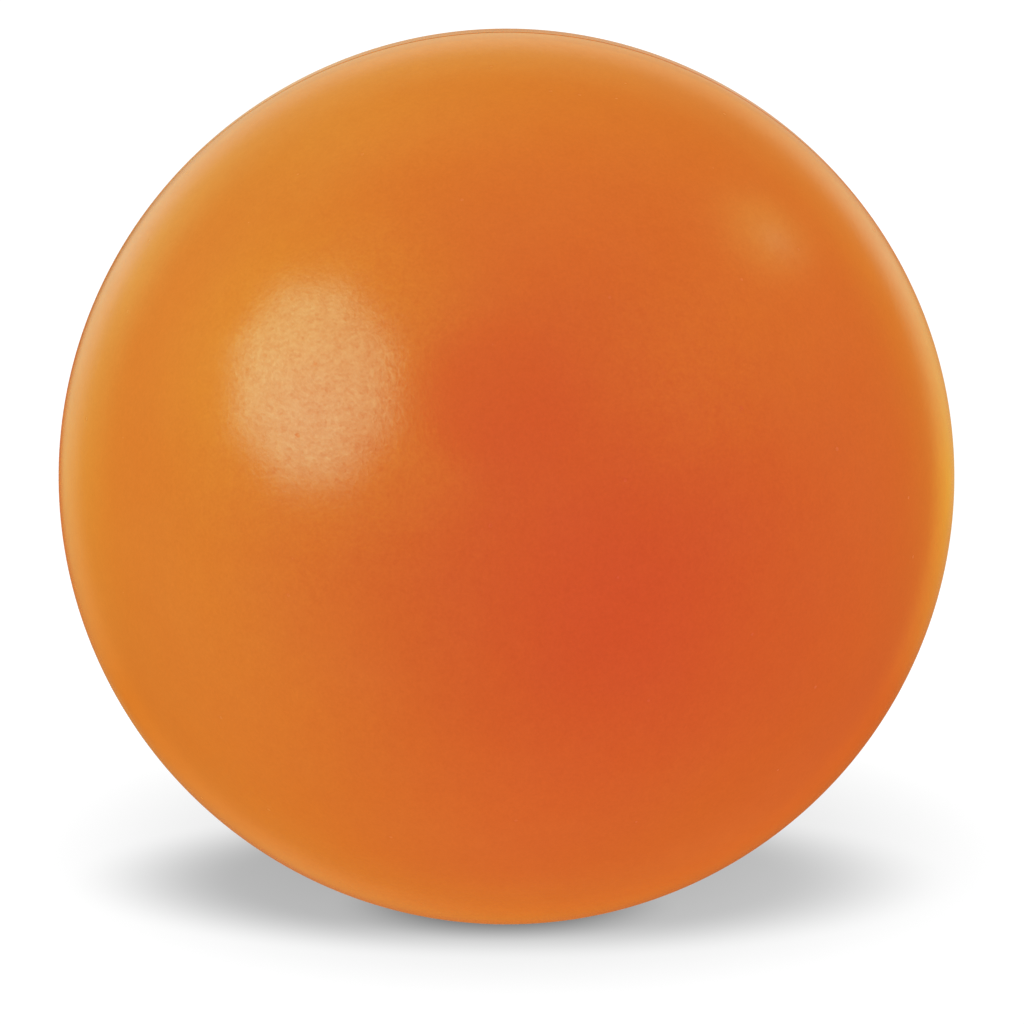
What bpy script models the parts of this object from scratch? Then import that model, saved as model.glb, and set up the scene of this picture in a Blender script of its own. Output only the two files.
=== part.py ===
"""Table tennis ball, 40 mm: two half shells cemented on a lapped seam.

The ball's centre is the origin and +Z is up. The seam lies in the XZ plane,
so the Y axis is the axis of both half shells. The front half faces -Y and
carries an inner lip; the rear half faces +Y and fits over that lip. Cement
fills the lap, the hairline gap between the two rims, and a small bead past
the end of the lip.

Run with: blender --background --python part.py
"""

import math

import bmesh
import bpy

# ---------------------------------------------------------------- dimensions
# metres
BALL_DIAMETER = 0.0400
WALL = 0.00038  # shell wall
RIM_GAP = 0.00016  # between the two rims
RIM_BREAK = 0.00003  # bevel on each rim's outer edge
LIP_WALL = 0.00028  # thickness of the inner lip
LIP_LENGTH = 0.00160  # how far the lip reaches past the seam plane
LIP_ROOT = 0.00110  # how far the lip's inside runs back into the front half
LIP_BLEND = 0.00060  # ramp from there out to the plain wall
LAP_FILM = 0.00008  # space for cement between the lip and the rear half
BEAD_LENGTH = 0.00050  # along Y, past the end of the lip
BEAD_DEPTH = 0.00022  # how far the bead stands in from the cement's outer side
CEMENT_RECESS = 0.00002  # cement sits this far below the ball's surface
FIT = 0.000015  # clearance between the cement and the shells

# mesh fineness
SEGMENTS = 72  # round the Y axis
CAP_RINGS = 11  # from the end of the seam zone to the pole
LAP_STEPS = 4  # along the lap
MERGE_DISTANCE = 1e-7  # joins the copies of each pole point
SHARP_ANGLE = math.radians(35)  # steeper edges are shaded sharp

OUTER_RADIUS = BALL_DIAMETER / 2
INNER_RADIUS = OUTER_RADIUS - WALL
LIP_OUTER_RADIUS = INNER_RADIUS - LAP_FILM
LIP_INNER_RADIUS = LIP_OUTER_RADIUS - LIP_WALL
HALF_GAP = RIM_GAP / 2
ROOT_END = LIP_ROOT + LIP_BLEND
BEAD_START = LIP_LENGTH + FIT
BEAD_END = BEAD_START + BEAD_LENGTH

# Heights shared by the surfaces near the lap, so that neighbouring curved
# surfaces are cut into the same facets and nest inside one another.
LAP_LEVELS = [
    HALF_GAP + (LIP_LENGTH - HALF_GAP) * step / LAP_STEPS for step in range(LAP_STEPS + 1)
]

# Bead outline: (share of BEAD_DEPTH, share of BEAD_LENGTH)
BEAD_OUTLINE = [(1.0, 0.0), (0.75, 0.4), (0.25, 0.8), (0.0, 1.0)]


# ------------------------------------------------------------------ profiles
# A profile is a list of (distance from the Y axis, y) pairs. A height is a
# signed distance from the seam plane along Y; side is -1 for the front half
# and 1 for the rear half.


def on_sphere(radius, y):
    """Point of a sphere's meridian at height y."""
    return (math.sqrt(radius * radius - y * y), y)


def meridian(radius, heights):
    """Points of a sphere's meridian at several heights."""
    return [on_sphere(radius, y) for y in heights]


def cap(radius, start, side):
    """Meridian from the given distance off the seam plane to the pole."""
    first = math.asin(start / radius)
    points = [on_sphere(radius, side * start)]
    for ring in range(1, CAP_RINGS):
        latitude = first + (math.pi / 2 - first) * ring / CAP_RINGS
        points.append((radius * math.cos(latitude), side * radius * math.sin(latitude)))
    points.append((0.0, side * radius))
    return points


def outer_wall(cap_start, side):
    """Outside of a half shell, from its pole to the inner edge of the rim bevel."""
    heights = [HALF_GAP + RIM_BREAK] + LAP_LEVELS[1:]
    wall = meridian(OUTER_RADIUS, [side * y for y in heights])
    wall += cap(OUTER_RADIUS, cap_start, side)
    rim_edge = (on_sphere(OUTER_RADIUS, HALF_GAP)[0] - RIM_BREAK, side * HALF_GAP)
    return wall[::-1] + [rim_edge]


def front_profile():
    """Cup with the inner lip that reaches past the seam plane."""
    lip_heights = [-HALF_GAP] + LAP_LEVELS
    lip_outside = meridian(LIP_OUTER_RADIUS, lip_heights)
    lip_inside = meridian(LIP_INNER_RADIUS, lip_heights[::-1] + [-LIP_ROOT])
    inner_wall = cap(INNER_RADIUS, ROOT_END, side=-1)
    return outer_wall(ROOT_END, side=-1) + lip_outside + lip_inside + inner_wall


def rear_profile():
    """Plain cup."""
    inner_wall = meridian(INNER_RADIUS, LAP_LEVELS) + cap(INNER_RADIUS, BEAD_END, side=1)
    return outer_wall(BEAD_END, side=1) + inner_wall


def cement_profile():
    """Closed section: hairline at the rims, film in the lap, bead."""
    hairline = HALF_GAP - FIT  # half the hairline's width
    hairline_radius = OUTER_RADIUS - CEMENT_RECESS
    film_outer_radius = INNER_RADIUS - FIT
    film_inner_radius = LIP_OUTER_RADIUS + FIT

    film_inside = meridian(film_inner_radius, [-hairline] + LAP_LEVELS + [BEAD_START])
    bead = [
        on_sphere(film_outer_radius - BEAD_DEPTH * depth, BEAD_START + BEAD_LENGTH * length)
        for depth, length in BEAD_OUTLINE
    ]
    film_outside = meridian(film_outer_radius, LAP_LEVELS[:0:-1] + [hairline])
    return (
        [on_sphere(hairline_radius, -hairline)]
        + film_inside
        + bead
        + film_outside
        + [on_sphere(hairline_radius, hairline)]
    )


# ------------------------------------------------------------------ modelling


def plastic(name, colour, roughness):
    """Opaque, non-metallic material in one colour."""
    material = bpy.data.materials.new(name)
    material.use_nodes = True
    shader = material.node_tree.nodes["Principled BSDF"]
    shader.inputs["Base Color"].default_value = (*colour, 1.0)
    shader.inputs["Metallic"].default_value = 0.0
    shader.inputs["Roughness"].default_value = roughness
    return material


def turned(name, profile, material, parent, closed=False):
    """Spins a profile round the Y axis into one solid body.

    An open profile starts and ends on the axis; a closed one makes a ring.
    """
    body = bmesh.new()
    verts = [body.verts.new((radius, y, 0.0)) for radius, y in profile]
    edges = [body.edges.new(pair) for pair in zip(verts, verts[1:])]
    if closed:
        edges.append(body.edges.new((verts[-1], verts[0])))
    bmesh.ops.spin(
        body,
        geom=verts + edges,
        cent=(0.0, 0.0, 0.0),
        axis=(0.0, 1.0, 0.0),
        angle=2 * math.pi,
        steps=SEGMENTS,
        use_merge=True,
    )
    bmesh.ops.remove_doubles(body, verts=body.verts, dist=MERGE_DISTANCE)
    bmesh.ops.recalc_face_normals(body, faces=body.faces)

    mesh = bpy.data.meshes.new(name)
    body.to_mesh(mesh)
    body.free()
    mesh.shade_smooth()
    mesh.set_sharp_from_angle(angle=SHARP_ANGLE)
    mesh.materials.append(material)

    piece = bpy.data.objects.new(name, mesh)
    bpy.context.scene.collection.objects.link(piece)
    piece.parent = parent


def main():
    for old_object in list(bpy.data.objects):
        bpy.data.objects.remove(old_object, do_unlink=True)

    ball = bpy.data.objects.new("table_tennis_ball", None)
    ball.empty_display_size = BALL_DIAMETER
    bpy.context.scene.collection.objects.link(ball)

    turned(
        "front_half_shell",
        front_profile(),
        plastic("front_shell_plastic", colour=(0.68, 0.145, 0.024), roughness=0.34),
        parent=ball,
    )
    turned(
        "rear_half_shell",
        rear_profile(),
        plastic("rear_shell_plastic", colour=(0.66, 0.140, 0.023), roughness=0.34),
        parent=ball,
    )
    turned(
        "seam_cement",
        cement_profile(),
        plastic("seam_cement", colour=(0.60, 0.115, 0.020), roughness=0.22),
        parent=ball,
        closed=True,
    )


main()
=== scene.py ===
"""Table tennis ball: two moulded half shells and the ring of cement in their seam.

The ball is centred on the origin and its seam lies in the plane y = 0. The front
half faces the camera, along -Y; its lip reaches past the seam, inside the rear half.
The stage is a white studio: a pale floor with the ball's shadow painted on it, a
white surround, one large octagonal softbox high on the left of the camera and a
small one behind on the right.
"""

import math

import bmesh
import bpy
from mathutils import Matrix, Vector


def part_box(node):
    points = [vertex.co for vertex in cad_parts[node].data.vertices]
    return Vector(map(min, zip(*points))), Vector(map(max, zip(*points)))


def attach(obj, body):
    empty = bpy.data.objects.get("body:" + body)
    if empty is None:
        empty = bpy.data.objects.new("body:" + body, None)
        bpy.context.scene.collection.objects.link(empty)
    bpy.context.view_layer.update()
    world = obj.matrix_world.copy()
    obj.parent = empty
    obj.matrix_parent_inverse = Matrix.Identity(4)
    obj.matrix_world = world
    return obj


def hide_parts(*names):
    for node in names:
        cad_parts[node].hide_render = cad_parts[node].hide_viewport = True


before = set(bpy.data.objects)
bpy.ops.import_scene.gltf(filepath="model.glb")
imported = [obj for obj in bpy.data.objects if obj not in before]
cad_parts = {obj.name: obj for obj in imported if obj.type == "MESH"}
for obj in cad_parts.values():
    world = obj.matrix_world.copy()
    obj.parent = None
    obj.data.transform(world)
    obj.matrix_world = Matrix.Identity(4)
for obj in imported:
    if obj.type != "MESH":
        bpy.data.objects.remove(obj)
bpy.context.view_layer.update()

# ------------------------------------------------------------- sizes, metres
_, rear_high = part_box("rear_half_shell")
_, front_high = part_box("front_half_shell")

OUTER_RADIUS = rear_high.y  # the rear shell ends at its pole
WALL = 0.00038
INNER_RADIUS = OUTER_RADIUS - WALL
RIM_GAP = 0.00016  # between the two rims, filled with cement
HALF_GAP = RIM_GAP / 2
RIM_EDGE = 0.000045  # rounding of the rims' outer edges
RIM_EDGE_STEPS = 4

LAP_FILM = 0.00008  # cement between the lip and the rear shell
LIP_WALL = 0.00028
LIP_OUTER = INNER_RADIUS - LAP_FILM
LIP_INNER = LIP_OUTER - LIP_WALL
LIP_LENGTH = front_high.y  # the lip is all of the front half past the seam
LIP_EDGE = 0.00004  # bevel round the lip's end
LIP_ROOT = 0.00110  # how far the lip's inner face runs in front of the seam
LIP_BLEND = 0.00060  # length over which that face eases out to the wall

FIT = 0.000015  # the cement reaches this far into its neighbours
CEMENT_RECESS = 0.000018  # hairline below the ball's surface
CEMENT_HOLLOW = 0.000012  # further dip in the middle of the hairline
BEAD_LENGTH = 0.00050
BEAD_DEPTH = 0.00022
BEAD_FILL = 0.62  # mean share of the bead's full depth
# section of the bead: share of its depth, share of its length
BEAD_SECTION = ((0.7, 0.02), (1.0, 0.25), (0.8, 0.55), (0.35, 0.85))
# unevenness of the bead: strength, lumps round the ring, phase
BEAD_LUMPS = ((0.28, 3, 0.5), (0.17, 11, 1.7), (0.12, 29, 0.0))

# distances of mesh rings from the seam plane
CAP_EDGE = 0.0026  # the caps take over from here to the poles
OUTER_HEIGHTS = (
    0.0023, 0.0020, 0.0017, 0.0014, 0.0011, 0.00085,
    0.00062, 0.00044, 0.00031, 0.00022, 0.000165,
)  # fmt: skip
LAP_HEIGHTS = (HALF_GAP, 0.0003, 0.0006, 0.0009, 0.0012)
REAR_INNER_HEIGHTS = (*LAP_HEIGHTS, 0.0016, 0.0019, 0.0022)

PATCH = 72  # mesh cells across a quarter turn
SEGMENTS = 4 * PATCH
SHARP_ANGLE = math.radians(50)


# ----------------------------------------------------------------- mesh code
def smooth(t):
    """Ease from 0 to 1."""
    return t * t * (3 - 2 * t)


def waviness(direction):
    """Gentle out-of-round of a pressed and polished shell, in metres, by direction.

    Both half shells share it, so they meet flush, and the wall keeps its thickness.
    """
    x, y, z = direction
    broad = math.sin(5.1 * x + 2.3 * z + 0.7) * math.cos(4.3 * y - 1.9 * x + 0.4)
    medium = math.sin(8.7 * z - 3.1 * y + 1.3) * math.sin(7.4 * x + 2.2 * y + 2.1)
    fine = math.sin(13.0 * y + 6.0 * x - 5.0 * z) * math.cos(11.0 * z + 4.0 * x)
    return 1e-6 * (5.0 * broad + 2.2 * medium + 0.9 * fine)


def place(radius, direction):
    """Point of the wavy sphere; it is true near the seam, where it was trimmed."""
    normal = direction.normalized()
    away_from_seam = smooth(min(1.0, abs(normal.y) / 0.16))
    return normal * (radius + waviness(normal) * away_from_seam)


def round_axis(radius, y):
    """Points round the Y axis at height y, at that distance from the axis."""
    for i in range(SEGMENTS):
        angle = 2 * math.pi * i / SEGMENTS
        yield Vector((radius * math.cos(angle), y, radius * math.sin(angle)))


def free_ring(draft, radius, y):
    """Ring at that distance from the axis, with no waviness."""
    return [draft.verts.new(point) for point in round_axis(radius, y)]


def sphere_ring(draft, radius, y, extra=lambda i: 0.0):
    """Ring on a sphere of that radius, with extra(i) added to the radius."""
    points = round_axis(math.sqrt(radius * radius - y * y), y)
    return [
        draft.verts.new(place(radius + extra(i), point))
        for i, point in enumerate(points)
    ]


def sphere_rings(draft, radius, heights):
    return [sphere_ring(draft, radius, y) for y in heights]


def cap(draft, radius, y_end, side):
    """Pole-free cap of even quads, from the pole to the ring at height y_end.

    A cube's top face and the upper halves of its sides are wrapped on the sphere in
    equal angles and pulled in, so that the edge is a ring of SEGMENTS points.
    Side is 1 for the rear, -1 for the front. Returns that ring.
    """
    end_angle = math.acos(y_end / radius)
    made = {}
    edge = {}

    def vert(x, y, z):
        direction = Vector((x, y, z)).normalized()
        from_pole = math.acos(max(-1.0, min(1.0, direction.y)))
        around = math.atan2(direction.z, direction.x)
        pulled = from_pole * end_angle / (math.pi / 2)
        point = Vector(
            (
                math.sin(pulled) * math.cos(around),
                side * math.cos(pulled),
                math.sin(pulled) * math.sin(around),
            )
        )
        key = tuple(round(value * 1e6) for value in point)
        if key not in made:
            made[key] = draft.verts.new(place(radius, point))
            if abs(from_pole - math.pi / 2) < 1e-7:
                edge[round(around / (2 * math.pi) * SEGMENTS) % SEGMENTS] = made[key]
        return made[key]

    eighth = math.pi / 4
    step = 2 * eighth / PATCH
    across = [math.tan(-eighth + step * i) for i in range(PATCH + 1)]
    down = [math.tan(eighth - step * j) for j in range(PATCH // 2 + 1)]
    grids = [[[vert(x, 1.0, z) for z in across] for x in across]]
    for quarter in range(4):
        turn = quarter * math.pi / 2
        cosine, sine = math.cos(turn), math.sin(turn)
        grids.append(
            [
                [vert(cosine - t * sine, y, sine + t * cosine) for y in down]
                for t in across
            ]
        )
    for grid in grids:
        for row, following in zip(grid, grid[1:]):
            for j in range(len(row) - 1):
                draft.faces.new((row[j], following[j], following[j + 1], row[j + 1]))
    return [edge[i] for i in range(SEGMENTS)]


def outer_skin(draft, side):
    """Rings of a half's outside, from its pole round the edge to the rim's face."""
    rings = [cap(draft, OUTER_RADIUS, CAP_EDGE, side)]
    rings += sphere_rings(draft, OUTER_RADIUS, [side * y for y in OUTER_HEIGHTS])
    edge_radius = math.sqrt(OUTER_RADIUS**2 - (HALF_GAP + RIM_EDGE) ** 2)
    for step in range(RIM_EDGE_STEPS + 1):
        angle = math.pi / 2 * step / RIM_EDGE_STEPS
        y = HALF_GAP + RIM_EDGE * (1 - math.sin(angle))
        radius = edge_radius - RIM_EDGE * (1 - math.cos(angle))
        rings.append(free_ring(draft, radius, side * y))
    return rings


def finish_piece(draft, rings, name):
    """Joins each ring to the next with quads and makes the object."""
    for ring, following in zip(rings, rings[1:]):
        for i in range(SEGMENTS):
            j = (i + 1) % SEGMENTS
            draft.faces.new((ring[i], ring[j], following[j], following[i]))
    bmesh.ops.recalc_face_normals(draft, faces=draft.faces)
    mesh = bpy.data.meshes.new(name)
    draft.to_mesh(mesh)
    draft.free()
    mesh.shade_smooth()
    mesh.set_sharp_from_angle(angle=SHARP_ANGLE)
    piece = bpy.data.objects.new(name, mesh)
    bpy.context.scene.collection.objects.link(piece)
    return piece


def build_rear():
    draft = bmesh.new()
    rings = outer_skin(draft, side=1)
    rings += sphere_rings(draft, INNER_RADIUS, REAR_INNER_HEIGHTS)
    rings.append(cap(draft, INNER_RADIUS, CAP_EDGE, side=1))
    return finish_piece(draft, rings, "rear_half_shell_moulded")


def build_front():
    """Front half, with the lip that reaches inside the rear half."""
    draft = bmesh.new()
    rings = outer_skin(draft, side=-1)
    bevel_start = LIP_LENGTH - LIP_EDGE
    lip_outside = (-HALF_GAP, HALF_GAP, 0.0004, 0.0008, 0.0012, bevel_start)
    lip_inside = (bevel_start, 0.0012, 0.0008, 0.0004, 0.0, -0.0004, -0.0008, -LIP_ROOT)
    rings += sphere_rings(draft, LIP_OUTER, lip_outside)
    rings.append(sphere_ring(draft, LIP_OUTER - LIP_EDGE, LIP_LENGTH))
    rings.append(sphere_ring(draft, LIP_INNER + LIP_EDGE, LIP_LENGTH))
    rings += sphere_rings(draft, LIP_INNER, lip_inside)
    for t in (0.2, 0.4, 0.6, 0.8, 1.0):
        radius = LIP_INNER + (INNER_RADIUS - LIP_INNER) * smooth(t)
        rings.append(sphere_ring(draft, radius, -(LIP_ROOT + LIP_BLEND * t)))
    rings += sphere_rings(draft, INNER_RADIUS, (-0.0020, -0.0023))
    rings.append(cap(draft, INNER_RADIUS, CAP_EDGE, side=-1))
    return finish_piece(draft, rings, "front_half_shell_moulded")


def build_cement():
    """Cement ring: hairline at the rims, film in the lap, uneven bead inside."""
    draft = bmesh.new()
    rim = HALF_GAP - FIT
    film_outer = INNER_RADIUS - FIT
    film_inner = LIP_OUTER + FIT
    hairline = math.sqrt(OUTER_RADIUS**2 - HALF_GAP**2) - CEMENT_RECESS
    bead_start = LIP_LENGTH + FIT
    levels = (*LAP_HEIGHTS, bead_start)

    def bead_share(i):
        angle = 2 * math.pi * i / SEGMENTS
        squeeze = 1 + sum(
            strength * math.sin(lumps * angle + phase)
            for strength, lumps, phase in BEAD_LUMPS
        )
        return min(1.0, BEAD_FILL * squeeze)

    rings = [free_ring(draft, hairline, -rim)]
    rings += sphere_rings(draft, film_inner, (-rim, *levels))
    for depth, along in BEAD_SECTION:
        rings.append(
            sphere_ring(
                draft,
                film_outer,
                bead_start + BEAD_LENGTH * along,
                lambda i, depth=depth: -BEAD_DEPTH * depth * bead_share(i),
            )
        )
    back_to_rim = (bead_start + BEAD_LENGTH, *reversed(levels[1:]), rim)
    rings += sphere_rings(draft, film_outer, back_to_rim)
    rings.append(free_ring(draft, hairline, rim))
    rings.append(free_ring(draft, hairline - CEMENT_HOLLOW, 0.0))
    rings.append(rings[0])
    return finish_piece(draft, rings, "seam_cement_ring")


# ------------------------------------------------------------- node shorthand
class Nodes:
    """Short calls for building a node tree."""

    def __init__(self, tree):
        self.tree = tree
        self.x = 0

    def new(self, kind, **settings):
        node = self.tree.nodes.new(kind)
        self.x += 40
        node.location = (self.x, -self.x % 400)
        for key, value in settings.items():
            setattr(node, key, value)
        return node

    def put(self, socket, value):
        """Links a socket to an output, or sets it to a constant."""
        if hasattr(value, "is_output"):
            self.tree.links.new(value, socket)
        else:
            socket.default_value = value

    def math(self, operation, a, b=0.0, c=0.0, clamp=False):
        node = self.new("ShaderNodeMath", operation=operation, use_clamp=clamp)
        for socket, value in zip(node.inputs, (a, b, c)):
            self.put(socket, value)
        return node.outputs[0]

    def scale_add(self, value, times, plus, clamp=False):
        return self.math("MULTIPLY_ADD", value, times, plus, clamp)

    def centred(self, value):
        """Moves a 0 to 1 noise so that its middle is 0."""
        return self.math("SUBTRACT", value, 0.5)

    def product(self, first, *others):
        for other in others:
            first = self.math("MULTIPLY", first, other)
        return first

    def vec(self, operation, a, b=None, scale=None):
        node = self.new("ShaderNodeVectorMath", operation=operation)
        self.put(node.inputs[0], a)
        if b is not None:
            self.put(node.inputs[1], b)
        if scale is not None:
            self.put(node.inputs["Scale"], scale)
        scalar = operation in ("DOT_PRODUCT", "LENGTH")
        return node.outputs["Value" if scalar else "Vector"]

    def split(self, vector):
        node = self.new("ShaderNodeSeparateXYZ")
        self.put(node.inputs[0], vector)
        return node.outputs

    def turn(self, vector, source, target):
        """A direction carried from one space to another."""
        node = self.new(
            "ShaderNodeVectorTransform",
            vector_type="VECTOR",
            convert_from=source,
            convert_to=target,
        )
        self.put(node.inputs[0], vector)
        return node.outputs[0]

    def ramp(self, value, start, end, low=0.0, high=1.0):
        """Eases from low at start to high at end; start may be the larger."""
        node = self.new("ShaderNodeMapRange", interpolation_type="SMOOTHSTEP", clamp=True)
        names = ("Value", "From Min", "From Max", "To Min", "To Max")
        for name, number in zip(names, (value, start, end, low, high)):
            self.put(node.inputs[name], number)
        return node.outputs["Result"]

    def mix(self, factor, a, b):
        """Blend of two colours."""
        node = self.new("ShaderNodeMix", data_type="RGBA")
        self.put(node.inputs["Factor"], factor)
        self.put(node.inputs[6], a)
        self.put(node.inputs[7], b)
        return node.outputs[2]

    def noise(self, vector, scale, detail, rough):
        node = self.new("ShaderNodeTexNoise")
        self.put(node.inputs["Vector"], vector)
        node.inputs["Scale"].default_value = scale
        node.inputs["Detail"].default_value = detail
        node.inputs["Roughness"].default_value = rough
        return node.outputs["Fac"]

    def cells(self, vector, scale):
        """Distance to the nearest of scattered points."""
        node = self.new("ShaderNodeTexVoronoi", feature="F1")
        self.put(node.inputs["Vector"], vector)
        node.inputs["Scale"].default_value = scale
        return node.outputs["Distance"]


# ------------------------------------------------------------------ materials
CELLULOID_IOR = 1.46
LAP_END = 1.6  # where the darker lap fades out, millimetres from the seam

# deeper pigment, lighter pigment, and the doubled wall at the lap
FRONT_TINT = ((0.68, 0.135, 0.021), (0.72, 0.161, 0.027), (0.60, 0.100, 0.016))
REAR_TINT = ((0.67, 0.131, 0.020), (0.71, 0.157, 0.026), (0.60, 0.100, 0.016))
CEMENT_TINT = ((0.52, 0.085, 0.012), (0.62, 0.115, 0.018))


def celluloid(name):
    """New material, its nodes, its shader and object coordinates in millimetres."""
    material = bpy.data.materials.new(name)
    material.use_nodes = True
    nodes = Nodes(material.node_tree)
    shader = material.node_tree.nodes["Principled BSDF"]
    shader.inputs["IOR"].default_value = CELLULOID_IOR
    here = nodes.new("ShaderNodeTexCoord").outputs["Object"]
    return material, nodes, shader, nodes.vec("SCALE", here, scale=1000.0)


def add_relief(nodes, shader, height):
    """Bumps the surface by a height in millimetres."""
    bump = nodes.new("ShaderNodeBump")
    bump.inputs["Strength"].default_value = 1.0
    bump.inputs["Distance"].default_value = 0.001
    nodes.put(bump.inputs["Height"], height)
    nodes.put(shader.inputs["Normal"], bump.outputs["Normal"])


def shell_material(name, tint):
    """Orange celluloid: satin, finely mottled, denser at the lap, buffed at the seam."""
    deep, light, dense = tint
    material, nodes, shader, mm = celluloid(name)
    from_seam = nodes.math("ABSOLUTE", nodes.split(mm)["Y"])

    # colour: pigment that is a little uneven, from clouds down to grain
    cloud = nodes.noise(mm, scale=0.11, detail=3.0, rough=0.55)
    mottle = nodes.centred(nodes.noise(mm, scale=1.0, detail=4.0, rough=1.0))
    grain = nodes.centred(nodes.noise(mm, scale=6.5, detail=1.0, rough=0.9))
    pigment = nodes.scale_add(nodes.centred(cloud), times=1.0, plus=0.5)
    pigment = nodes.scale_add(mottle, times=0.6, plus=pigment, clamp=True)
    colour = nodes.mix(pigment, (*deep, 1.0), (*light, 1.0))
    bright = nodes.scale_add(grain, times=0.15, plus=1.0)
    bright = nodes.scale_add(mottle, times=0.09, plus=bright)
    colour = nodes.vec("SCALE", colour, scale=bright)
    # the lap doubles the wall, so less light comes through there
    lap = nodes.ramp(from_seam, start=LAP_END + 0.25, end=LAP_END - 0.15, high=0.40)
    colour = nodes.mix(lap, colour, (*dense, 1.0))
    nodes.put(shader.inputs["Base Color"], colour)

    # a few tiny pits
    pit = nodes.ramp(nodes.cells(mm, scale=0.55), start=0.03, end=0.085, low=1.0, high=0.0)

    # roughness: satin, patchy, with fine marks along the buffed seam
    patch = nodes.noise(mm, scale=0.35, detail=3.0, rough=0.6)
    rough = nodes.scale_add(nodes.centred(patch), times=0.08, plus=0.19)
    rough = nodes.scale_add(mottle, times=-0.10, plus=rough)
    near_seam = nodes.ramp(from_seam, start=1.9, end=0.4)
    along_seam = nodes.vec("MULTIPLY", mm, (0.12, 8.0, 0.12))
    turned = nodes.noise(along_seam, scale=1.0, detail=2.0, rough=0.6)
    marks = nodes.scale_add(nodes.centred(turned), times=0.16, plus=-0.04)
    rough = nodes.scale_add(near_seam, times=marks, plus=rough)
    rough = nodes.scale_add(pit, times=0.10, plus=rough)
    nodes.put(shader.inputs["Roughness"], rough)

    # gloss: the pores take some away
    gloss = nodes.scale_add(mottle, times=0.50, plus=0.5)
    gloss = nodes.scale_add(grain, times=0.52, plus=gloss)
    gloss = nodes.scale_add(pit, times=-0.15, plus=gloss, clamp=True)
    nodes.put(shader.inputs["Specular IOR Level"], gloss)

    # surface: orange peel, and the pits
    peel = nodes.noise(mm, scale=4.0, detail=3.0, rough=0.6)
    height = nodes.product(peel, 0.0070)
    height = nodes.scale_add(pit, times=-0.003, plus=height)
    add_relief(nodes, shader, height)
    return material


def cement_material(name):
    """Dried celluloid cement: the same orange, darker and glossier, with tiny bubbles."""
    dark, light = CEMENT_TINT
    material, nodes, shader, mm = celluloid(name)
    flow = nodes.noise(mm, scale=0.8, detail=3.0, rough=0.55)
    colour = nodes.mix(flow, (*dark, 1.0), (*light, 1.0))
    nodes.put(shader.inputs["Base Color"], colour)
    nodes.put(shader.inputs["Roughness"], nodes.scale_add(flow, times=0.12, plus=0.16))
    bubbles = nodes.cells(mm, scale=6.0)
    height = nodes.ramp(bubbles, start=0.1, end=0.3, low=-0.004, high=0.0)
    height = nodes.scale_add(flow, times=0.006, plus=height)
    add_relief(nodes, shader, height)
    return material


# --------------------------------------------------------------------- pieces
def build_ball():
    front_material = shell_material("front_shell_celluloid", FRONT_TINT)
    rear_material = shell_material("rear_shell_celluloid", REAR_TINT)
    dried_cement = cement_material("seam_cement_dried")
    front = build_front()
    rear = build_rear()
    cement = build_cement()
    for piece, material, node, slot in (
        (front, front_material, "front_half_shell", "shell"),
        (rear, rear_material, "rear_half_shell", "shell"),
        (cement, dried_cement, "seam_cement", "cement"),
    ):
        piece.data.materials.append(material)
        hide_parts(node)
        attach(piece, "root")


# --------------------------------------------------------------------- camera
ELEVATION = math.radians(10.0)
CAMERA_DISTANCE = 0.42  # metres
SENSOR_WIDTH = 36.0  # millimetres
BALL_ON_SENSOR = 15.75  # radius of the ball's image, millimetres
# offset of the view, as shares of its width
SHIFT_X = 0.00537109375
SHIFT_Y = -0.03466796875


def add_camera():
    """Camera in front of the ball and a little above, aimed at its centre."""
    lens = bpy.data.cameras.new("camera")
    camera = bpy.data.objects.new("camera", lens)
    bpy.context.scene.collection.objects.link(camera)
    camera.location = (
        0.0,
        -CAMERA_DISTANCE * math.cos(ELEVATION),
        CAMERA_DISTANCE * math.sin(ELEVATION),
    )
    camera.rotation_euler = (math.pi / 2 - ELEVATION, 0.0, 0.0)
    lens.sensor_width = SENSOR_WIDTH
    lens.lens = BALL_ON_SENSOR / math.tan(math.asin(OUTER_RADIUS / CAMERA_DISTANCE))
    lens.shift_x = SHIFT_X
    lens.shift_y = SHIFT_Y
    lens.clip_start = 0.01
    bpy.context.scene.camera = camera


# ---------------------------------------------------------------------- floor
FLOOR_HALF_WIDTH = 6.0  # metres
FLOOR_CLEARANCE = 0.00002  # metres below the ball
FLOOR_LIGHT = 1.10
# share of the floor's glow each painted shadow takes away
CORE_DEPTH = 0.39
WIDE_DEPTH = 0.40
CONTACT_DEPTH = 0.95


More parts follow.
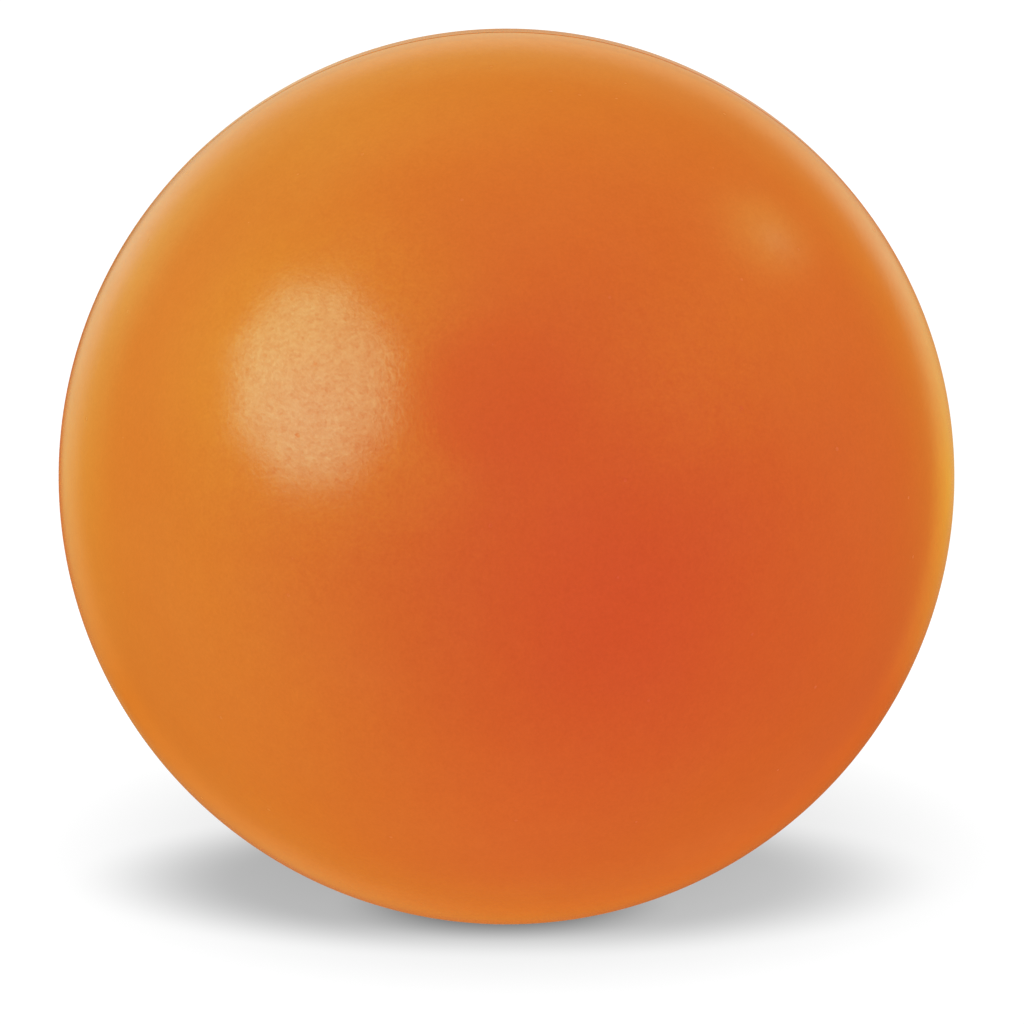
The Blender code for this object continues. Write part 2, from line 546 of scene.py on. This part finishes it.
def floor_material():
    """Glowing paper with the ball's soft shadow painted into its glow, in millimetres.

    Three ovals of painted shadow: a deep spot at the contact, one shaped like an overhead
    softbox's shadow, which leans away from the camera, and a wide faint one as from the rest
    of the set.
    """
    material = bpy.data.materials.new("floor_paper_painted_shadow")
    material.use_nodes = True
    tree = material.node_tree
    tree.nodes.clear()
    nodes = Nodes(tree)
    # horizontal direction away from the camera
    away = nodes.turn((0.0, 1.0, 1.0), "CAMERA", "WORLD")
    away = nodes.vec("NORMALIZE", nodes.vec("MULTIPLY", away, (1.0, 1.0, 0.0)))
    across = nodes.vec("CROSS_PRODUCT", away, (0.0, 0.0, 1.0))
    here = nodes.new("ShaderNodeNewGeometry").outputs["Position"]
    mm = nodes.vec("MULTIPLY", nodes.vec("SCALE", here, scale=1000.0), (1.0, 1.0, 0.0))
    x = nodes.vec("DOT_PRODUCT", mm, across)
    y = nodes.vec("DOT_PRODUCT", mm, away)

    def oval(centre, half_x, half_y):
        """Distance from the centre, 1 on the oval."""
        a = nodes.math("DIVIDE", nodes.math("SUBTRACT", x, centre[0]), half_x)
        b = nodes.math("DIVIDE", nodes.math("SUBTRACT", y, centre[1]), half_y)
        return nodes.math("SQRT", nodes.math("ADD", nodes.product(a, a), nodes.product(b, b)))

    core = nodes.ramp(oval(centre=(0.2, 7.4), half_x=16.3, half_y=13.3), start=1.26, end=0.74)
    # the painted shadow is a little deeper on the left, where the softbox stands
    core = nodes.product(core, nodes.scale_add(x, times=-0.0101, plus=1.0))
    wide = nodes.ramp(oval(centre=(0.7, 14.6), half_x=31.3, half_y=44.0), start=1.0, end=0.0)
    contact = nodes.ramp(
        oval(centre=(-0.1, 2.0), half_x=4.42, half_y=4.35), start=1.83, end=0.17
    )
    # painted shadow: the floor's glow is dimmed inside the three ovals
    level = FLOOR_LIGHT
    for depth, shadow in ((CORE_DEPTH, core), (WIDE_DEPTH, wide), (CONTACT_DEPTH, contact)):
        level = nodes.product(level, nodes.scale_add(shadow, times=-depth, plus=1.0))
    glow = nodes.new("ShaderNodeEmission")
    nodes.put(glow.inputs["Strength"], level)
    output = nodes.new("ShaderNodeOutputMaterial")
    nodes.put(output.inputs["Surface"], glow.outputs[0])
    return material


def add_floor():
    mesh = bpy.data.meshes.new("floor")
    draft = bmesh.new()
    bmesh.ops.create_grid(draft, x_segments=12, y_segments=12, size=FLOOR_HALF_WIDTH)
    drop = (0, 0, -OUTER_RADIUS - FLOOR_CLEARANCE)
    bmesh.ops.translate(draft, verts=draft.verts, vec=drop)
    draft.to_mesh(mesh)
    draft.free()
    floor = bpy.data.objects.new("floor", mesh)
    bpy.context.scene.collection.objects.link(floor)
    mesh.materials.append(floor_material())
    # seen by the camera only: the studio's washes already hold the light it sends up
    floor.visible_diffuse = False
    floor.visible_glossy = False
    floor.visible_transmission = False
    floor.visible_shadow = False


# --------------------------------------------------------------------- studio
# Directions here are (right, up, towards the camera); colours are radiance.
UP = (0.0, math.cos(ELEVATION), math.sin(ELEVATION))
DOWN = (0.0, -math.cos(ELEVATION), -math.sin(ELEVATION))
# broad washes that light the body: direction, narrowness, colour
WASHES = (
    (None, 1.0, (0.81, 0.0, 0.75)),  # from all round
    ((-1, 0, 0), 2.0, (0.15, 0.97, 0.17)),  # left wall
    ((1, 0, 0), 2.0, (0.0, 0.0, 0.0)),  # right wall
    ((0, 0, 1), 4.0, (0.0, 0.0, 0.0)),  # fill from the camera
    ((1, 0.1, -0.8), 4.0, (0.96, 3.6, 0.27)),  # right, behind
    ((-1, 0.1, -0.8), 4.0, (0.79, 3.3, 0.0)),  # left, behind
    (UP, 2.0, (0.47, 1.99, 0.1)),  # ceiling
    (DOWN, 2.0, (0.4, 0.99, 0.0)),  # floor
    ((-0.8, -1, 0.1), 3.0, (0.18, 0.91, 0.0)),  # floor, on the left
)

# colours that the gloss mirrors
FRONT_ALL = (0.0, 0.21, 0.0)
FRONT_LEFT = (0.0, 0.77, 0.06)
FRONT_RIGHT = (0.0, 0.2, 0.0)
WINDOW = (0.33, 0.65, 0.0)
KEY = (1.25, 4.64, 3.15)  # the large softbox
KEY_HOT = (0.5, 0.95, 1.4)
KEY_GLOW = (0.57, 1.37, 0.09)
SECOND = (0.58, 1.63, 0.3)  # the small softbox
SECOND_HOT = (0.2, 1.0, 1.0)

# Colours round the mirror ball, anticlockwise from the right. The rows hold
# -150, -120, -90, -60; then -30, 0, 30, 60; then 90, 120, 150, 180 degrees.
FLANKS = (
    (0.0, 0.24, 0.07), (0.0, 0.33, 0.02), (0.0, 0.19, 0.05), (0.0, 0.31, 0.0),
    (0.0, 0.06, 0.0), (0.0, 0.0, 0.0), (0.0, 0.0, 0.0), (0.0, 0.15, 0.01),
    (0.11, 0.5, 0.05), (0.1, 0.79, 0.14), (0.0, 0.11, 0.1), (0.0, 0.0, 0.05),
)  # fmt: skip
FAR_WALLS = (
    (0.02, 0.0, 0.03), (0.19, 0.27, 0.04), (0.3, 0.27, 0.04), (0.35, 0.21, 0.04),
    (0.09, 0.0, 0.03), (0.25, 0.21, 0.02), (0.35, 0.31, 0.02), (0.26, 0.32, 0.09),
    (0.38, 0.62, 0.17), (0.39, 0.61, 0.2), (0.44, 0.81, 0.29), (0.31, 0.35, 0.08),
)  # fmt: skip
BACKDROP = (
    (0.53, 0.11, 0.01), (0.67, 0.41, 0.13), (0.6, 0.27, 0.04), (0.58, 0.18, 0.03),
    (0.54, 0.1, 0.02), (0.88, 0.74, 0.09), (0.87, 0.89, 0.49), (0.76, 0.61, 0.27),
    (0.87, 0.81, 0.44), (0.77, 0.75, 0.43), (0.85, 0.91, 0.64), (0.71, 0.62, 0.28),
)  # fmt: skip
BACK_END = (
    (0.46, 0.24, 0.10), (0.42, 0.16, 0.09), (0.56, 0.20, 0.06), (0.38, 0.14, 0.05),
    (0.43, 0.15, 0.05), (0.78, 0.57, 0.20), (0.58, 0.28, 0.11), (0.74, 0.62, 0.43),
    (0.55, 0.38, 0.22), (0.78, 0.68, 0.44), (0.36, 0.16, 0.06), (0.48, 0.03, 0.03),
)  # fmt: skip
BRIGHTEST = 8.0  # the colour ramps hold these colours as parts of this
# rings out to straight behind: colours, mirror-ball radii of rise and of fall
RINGS = (
    (FLANKS, (0.66, 0.80), (0.93, 0.84)),
    (FAR_WALLS, (0.86, 0.92), (0.965, 0.93)),
    (BACKDROP, (0.93, 0.965), (0.994, 0.984)),
    (BACK_END, (0.984, 0.994), None),
)
WHITE = (1.05, 1.05, 1.05, 1.0)  # what the camera sees


def add_layer(nodes, total, mask, colour):
    tinted = nodes.vec("SCALE", colour, scale=mask)
    return tinted if total is None else nodes.vec("ADD", total, tinted)


def body_light(nodes, direction):
    """Sum of the washes.

    The wall of a real ball lets red light through, so red fills the ball evenly
    from inside while green follows the light; the washes carry that.
    """
    body = None
    for centre, narrowness, colour in WASHES:
        mask = 1.0
        if centre:
            centre = tuple(Vector(centre).normalized())
            mask = nodes.math("MAXIMUM", nodes.vec("DOT_PRODUCT", direction, centre), 0.0)
            mask = nodes.math("POWER", mask, narrowness)
        body = add_layer(nodes, body, mask, colour)
    return body


def mirrored_set(nodes, direction):
    """What the gloss mirrors, laid out as it would show in a mirror ball.

    Centre (0, 0) is the lens, radius 1 is straight behind the ball.
    """
    z = nodes.split(direction)[2]
    flat = nodes.vec("MULTIPLY", direction, (1.0, 1.0, 0.0))
    reach = nodes.math("MAXIMUM", nodes.scale_add(z, times=2.0, plus=2.0), 1e-5)
    reach = nodes.math("SQRT", reach)
    spot_on_ball = nodes.vec("SCALE", flat, scale=nodes.math("DIVIDE", 1.0, reach))
    radius = nodes.math("MAXIMUM", nodes.scale_add(z, times=-0.5, plus=0.5), 0.0)
    radius = nodes.math("SQRT", radius)
    across, up, _ = nodes.split(spot_on_ball)
    heading = nodes.math("ARCTAN2", up, across)

    def spot(centre, inner, outer, squash=(1.0, 1.0), lean=0.0):
        """1 within inner of a mirror-ball point, 0 beyond outer; lean in degrees."""
        offset = nodes.vec("SUBTRACT", spot_on_ball, (*centre, 0.0))
        if lean:
            cosine, sine = math.cos(math.radians(lean)), math.sin(math.radians(lean))
            leant_x = nodes.vec("DOT_PRODUCT", offset, (cosine, sine, 0.0))
            leant_y = nodes.vec("DOT_PRODUCT", offset, (-sine, cosine, 0.0))
            join = nodes.new("ShaderNodeCombineXYZ")
            nodes.put(join.inputs[0], leant_x)
            nodes.put(join.inputs[1], leant_y)
            offset = join.outputs[0]
        offset = nodes.vec("DIVIDE", offset, (*squash, 1.0))
        return nodes.ramp(nodes.vec("LENGTH", offset), start=outer, end=inner)

    def octagon(centre, half_width, half_height, soft):
        """1 inside an octagonal softbox, 0 outside."""
        offset = nodes.vec("SUBTRACT", spot_on_ball, (*centre, 0.0))
        offset = nodes.vec("DIVIDE", offset, (half_width, half_height, 1.0))
        x, y, _ = nodes.split(nodes.vec("ABSOLUTE", offset))
        slant = nodes.product(nodes.math("ADD", x, y), 0.72)
        far = nodes.math("MAXIMUM", nodes.math("MAXIMUM", x, y), slant)
        return nodes.ramp(far, start=1 + soft, end=1 - soft)

    def around(colours):
        """Colour by heading, blended from one to the next."""
        node = nodes.new("ShaderNodeValToRGB")
        turn = nodes.scale_add(heading, times=0.5 / math.pi, plus=0.5)
        nodes.put(node.inputs["Fac"], turn)
        stops = node.color_ramp.elements
        for step in range(1, len(colours)):
            stops.new(step / len(colours))
        # the last colour, straight left, closes the circle at both ends
        for stop, colour in zip(stops, (colours[-1], *colours)):
            stop.color = (*(part / BRIGHTEST for part in colour), 1.0)
        return nodes.vec("SCALE", node.outputs["Color"], scale=BRIGHTEST)

    def without(mask):
        return nodes.math("SUBTRACT", 1.0, mask)

    def add(total, mask, colour):
        return add_layer(nodes, total, mask, colour)

    # the camera's side of the set, dark just above the lens and at the lower right
    front = nodes.ramp(radius, start=0.86, end=0.62)
    lens = without(spot(centre=(-0.020, 0.182), inner=0.12, outer=0.225))
    corner = without(spot(centre=(0.215, -0.300), inner=0.03, outer=0.34))
    leftward = nodes.ramp(across, start=0.2, end=-0.7)
    gloss = add(None, nodes.product(front, lens, leftward), FRONT_LEFT)
    clear = nodes.product(lens, corner)
    rightward = nodes.ramp(across, start=-0.1, end=0.7)
    gloss = add(gloss, nodes.product(front, clear, rightward), FRONT_RIGHT)
    gloss = add(gloss, nodes.product(front, clear), FRONT_ALL)
    gloss = add(gloss, spot(centre=(0.42, 0.24), inner=0.02, outer=0.34), WINDOW)

    # its flanks and the far side
    for colours, rise, fall in RINGS:
        ring = nodes.ramp(radius, *rise)
        if fall:
            ring = nodes.product(ring, nodes.ramp(radius, *fall))
        gloss = add(gloss, ring, around(colours))

    # the two softboxes, with hot centres
    box = octagon(centre=(-0.421, 0.200), half_width=0.170, half_height=0.214, soft=0.20)
    hot = spot(centre=(-0.455, 0.145), inner=0.0, outer=0.22)
    gloss = add(gloss, box, KEY)
    gloss = add(gloss, nodes.product(box, hot), KEY_HOT)
    halo = spot(centre=(-0.36, 0.21), inner=0.16, outer=0.46)
    gloss = add(gloss, nodes.product(halo, lens), KEY_GLOW)
    small = spot(centre=(0.562, 0.530), inner=0.0, outer=0.135, squash=(1.25, 0.85), lean=-38)
    gloss = add(gloss, small, SECOND)
    small_hot = spot(
        centre=(0.594, 0.519), inner=0.0, outer=0.042, squash=(1.4, 0.8), lean=-38
    )
    return add(gloss, small_hot, SECOND_HOT)


def add_studio():
    """Surround fixed to the camera: white, mirrored set or washes, by kind of ray."""
    world = bpy.data.worlds.new("studio")
    bpy.context.scene.world = world
    world.use_nodes = True
    tree = world.node_tree
    tree.nodes.clear()
    nodes = Nodes(tree)
    outward = nodes.new("ShaderNodeTexCoord").outputs["Generated"]
    direction = nodes.turn(outward, "WORLD", "CAMERA")
    # flip z, so that it points towards the camera
    direction = nodes.vec("NORMALIZE", nodes.vec("MULTIPLY", direction, (1.0, 1.0, -1.0)))
    body = body_light(nodes, direction)
    gloss = mirrored_set(nodes, direction)
    path = nodes.new("ShaderNodeLightPath").outputs

    def background(colour):
        node = nodes.new("ShaderNodeBackground")
        nodes.put(node.inputs["Color"], colour)
        return node.outputs[0]

    def either(factor, a, b):
        node = nodes.new("ShaderNodeMixShader")
        for socket, value in zip(node.inputs, (factor, a, b)):
            nodes.put(socket, value)
        return node.outputs[0]

    lit = either(path["Is Glossy Ray"], background(body), background(gloss))
    seen = either(path["Is Camera Ray"], lit, background(WHITE))
    output = nodes.new("ShaderNodeOutputWorld")
    nodes.put(output.inputs["Surface"], seen)
    # each kind of ray has its own answer, so rays find the light by themselves
    world.cycles.sampling_method = "NONE"


build_ball()
add_camera()
add_floor()
add_studio()

scene = bpy.context.scene
scene.view_settings.view_transform = "Standard"
scene.view_settings.look = "None"
